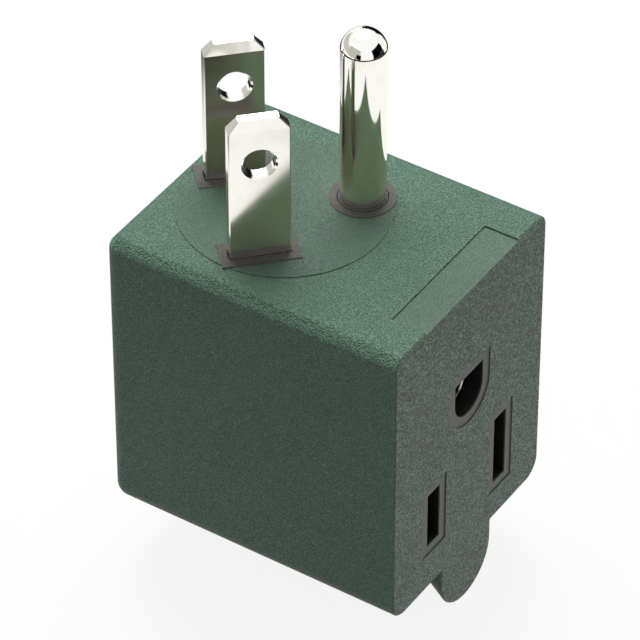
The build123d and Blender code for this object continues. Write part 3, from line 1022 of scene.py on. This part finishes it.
@dataclass(frozen=True)
class Lamp:
    """Soft square lamp, which plastic and metal mirror and the camera doesn't see."""

    name: str
    azimuth: float
    elevation: float
    distance: float
    size: float
    watts: float

    def build(self, centre: Vector) -> None:
        """Hangs the lamp, aimed at the object.

        Args:
            centre: The object's middle.
        """
        data = bpy.data.lights.new(self.name, "AREA")
        data.shape = "SQUARE"
        data.size = self.size
        data.energy = self.watts
        lamp = link_object(self.name, data)
        lamp.matrix_world = aim(centre + direction(self.azimuth, self.elevation) * self.distance, centre)
        lamp.visible_glossy = True
        lamp.visible_camera = False
        log.info("%s: %.2f W", self.name, self.watts)


@dataclass(frozen=True)
class Floor:
    """Pale floor: it takes the shadow, and in metal it shows a painted reflection with a dark ring and dark
    sectors round the pin.
    """

    size: float = 6.0
    bounce: Colour = (0.24, 0.24, 0.24)
    seen: Colour = (0.8, 0.8, 0.8)
    glow_share: float = 0.88
    # Painted reflection: what the metal sees of the floor, pale with a dark ring and dark sectors
    painted_reflection_tone: Colour = (1.0, 0.99, 0.96)
    painted_reflection_dark: Colour = (0.015, 0.015, 0.015)
    pattern_centre: tuple[float, float, float] = (0.0057, -0.0057, 0.0)
    ring: Range = (0.086, 0.165)
    ring_soft: float = 0.004
    # Each sector's inner and outer radius in metres, and its first and last bearing in degrees
    sectors: tuple[tuple[float, float, float, float], ...] = (
        (0.165, 0.62, -5.0, 33.0),
        (0.165, 0.62, -106.0, -44.0),
        (0.079, 0.100, 30.0, 105.0),
        (0.165, 0.90, 168.0, 178.0),
        (0.165, 0.90, -178.0, -162.0),
    )
    reach_soft: float = 0.012
    bearing_soft: float = 0.04

    def build(self, height: float) -> None:
        """Lays the floor under the object.

        Args:
            height: The object's lowest point.
        """
        mesh = bmesh.new()
        bmesh.ops.create_grid(mesh, x_segments=1, y_segments=1, size=self.size / 2)
        bmesh.ops.translate(mesh, vec=(0.0, 0.0, height), verts=mesh.verts)
        floor = link_mesh("floor", mesh)
        material, tree = empty_material("floor_pale")
        path = tree.add("LightPath").outputs
        sharp = tree.math("ADD", path["Is Glossy Ray"], path["Is Transmission Ray"], clamp=True)
        bounce = self.surface(tree, "BsdfDiffuse", self.bounce)
        painted_floor_reflection = self.surface(tree, "Emission", self.painted_floor_reflection(tree))
        paint = self.surface(tree, "BsdfDiffuse", self.seen)
        glow = self.surface(tree, "Emission", WHITE)
        to_camera = tree.blend_shaders(self.glow_share, paint, glow)
        to_rest = tree.blend_shaders(sharp, bounce, painted_floor_reflection)
        whole = tree.blend_shaders(path["Is Camera Ray"], to_rest, to_camera)
        tree.feed(tree.add("OutputMaterial").inputs["Surface"], whole)
        floor.data.materials.append(material)
        floor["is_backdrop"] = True
        log.info("floor: %.1f m wide", self.size)

    def surface(self, tree: NodeTree, kind: str, tone: object) -> Socket:
        """Adds a shader of one colour.

        Args:
            tree: The material's tree.
            kind: The shader node's type.
            tone: Its colour.

        Returns:
            The shader.
        """
        node = tree.add(kind)
        tree.feed(node.inputs["Color"], tone)
        return node.outputs[0]

    def painted_floor_reflection(self, tree: NodeTree) -> Socket:
        """Painted reflection: colour of the floor in the metal, which glossy rays alone see.

        Args:
            tree: The material's tree.

        Returns:
            The colour.
        """
        offset = tree.vector("SUBTRACT", tree.where(), self.pattern_centre).outputs[0]
        across, along = tree.part(offset, 0), tree.part(offset, 1)
        reach = tree.vector("LENGTH", tree.join(across, along)).outputs["Value"]
        bearing = tree.math("ARCTAN2", along, across)
        dark = tree.band(reach, self.ring, self.ring_soft)
        for low, high, start, end in self.sectors:
            turn = (math.radians(start), math.radians(end))
            sector = tree.math(
                "MULTIPLY",
                tree.band(reach, (low, high), self.reach_soft),
                tree.band(bearing, turn, self.bearing_soft),
            )
            dark = tree.math("MAXIMUM", dark, sector)
        return tree.blend(dark, self.painted_reflection_tone, self.painted_reflection_dark)


@dataclass(frozen=True)
class Backdrop:
    """World that is white to the camera and to metal, and a dim fill to the rest."""

    fill: float = 0.2
    last_bounces: Range = (2.8, 2.2)

    def build(self) -> None:
        """Sets the world; it fades out of reflections of reflections, which the jacket shades."""
        world = bpy.data.worlds.new("studio_white")
        world.use_nodes = True
        world.node_tree.nodes.clear()
        tree = NodeTree(world.node_tree)
        path = tree.add("LightPath").outputs
        sharp = tree.math("ADD", path["Is Camera Ray"], path["Is Glossy Ray"], clamp=True)
        sharp = tree.math("ADD", sharp, path["Is Transmission Ray"], clamp=True)
        sharp = tree.math("MULTIPLY", sharp, tree.ramp(path["Glossy Depth"], *self.last_bounces))
        background = tree.add("Background")
        tree.feed(background.inputs["Color"], WHITE)
        tree.feed(background.inputs["Strength"], tree.add_part(self.fill, sharp, 1.0 - self.fill))
        tree.feed(tree.add("OutputWorld").inputs["Surface"], background.outputs[0])
        bpy.context.scene.world = world
        log.info("world: fill %.2f", self.fill)


@dataclass(frozen=True)
class Viewpoint:
    """Camera at the place that the photograph was taken from."""

    place: tuple[float, float, float] = (-0.31163, -0.20867, 0.30512)
    azimuth: float = 56.738
    elevation: float = 40.479
    lens: float = 270.74
    sensor: float = 36.0
    clip: Range = (0.05, 20.0)

    def build(self) -> None:
        """Places the camera."""
        data = bpy.data.cameras.new("camera")
        data.lens = self.lens
        data.sensor_width = self.sensor
        data.clip_start, data.clip_end = self.clip
        camera = link_object("camera", data)
        camera.location = self.place
        camera.rotation_euler = (math.radians(90.0 - self.elevation), 0.0, math.radians(-self.azimuth))
        bpy.context.scene.camera = camera
        log.info("camera: lens %.1f mm", self.lens)


@dataclass(frozen=True)
class Studio:
    """White studio: pale floor, soft lamps, cards for the metal to reflect, world and camera."""

    lamps: tuple[Lamp, ...] = (
        Lamp("lamp_top", 40.0, 62.0, 0.56, 0.50, 4.7),
        Lamp("lamp_left", 150.0, 30.0, 0.70, 0.45, 0.36),
        Lamp("lamp_front", -60.0, 10.0, 0.70, 0.45, 0.25),
    )
    cards: tuple[Card, ...] = (
        Card("card_black_front", -76.0, 13.0, 0.66, 0.42),
        Card("card_black_back", 17.0, 5.0, 0.40, 0.34),
        Card("card_black_left", 189.0, 5.0, 0.20, 0.17, distance=0.52),
        Card("card_grey_back", 98.0, 8.0, 0.86, 0.38, (0.60, 0.56, 0.55)),
        Card("card_grey_left", 163.0, 15.0, 0.70, 0.50, (0.54, 0.52, 0.45)),
    )

    def build(self) -> None:
        """Builds the studio round the object."""
        low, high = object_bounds()
        Floor().build(low.z)
        Backdrop().build()
        for piece in (*self.lamps, *self.cards):
            piece.build((low + high) / 2)
        Viewpoint().build()


def main() -> None:
    """Builds the finishes, dresses the nodes and sets up the studio."""
    logging.basicConfig(level=logging.INFO, format="%(name)s: %(message)s")
    bpy.context.scene.view_settings.view_transform = "Standard"
    for effect in (SparkGrain(), PebbleGrain(), EdgeWear(), Hairlines()):
        effect.build()
    Dressing().dress()
    Studio().build()


if __name__ == "__main__":
    main()
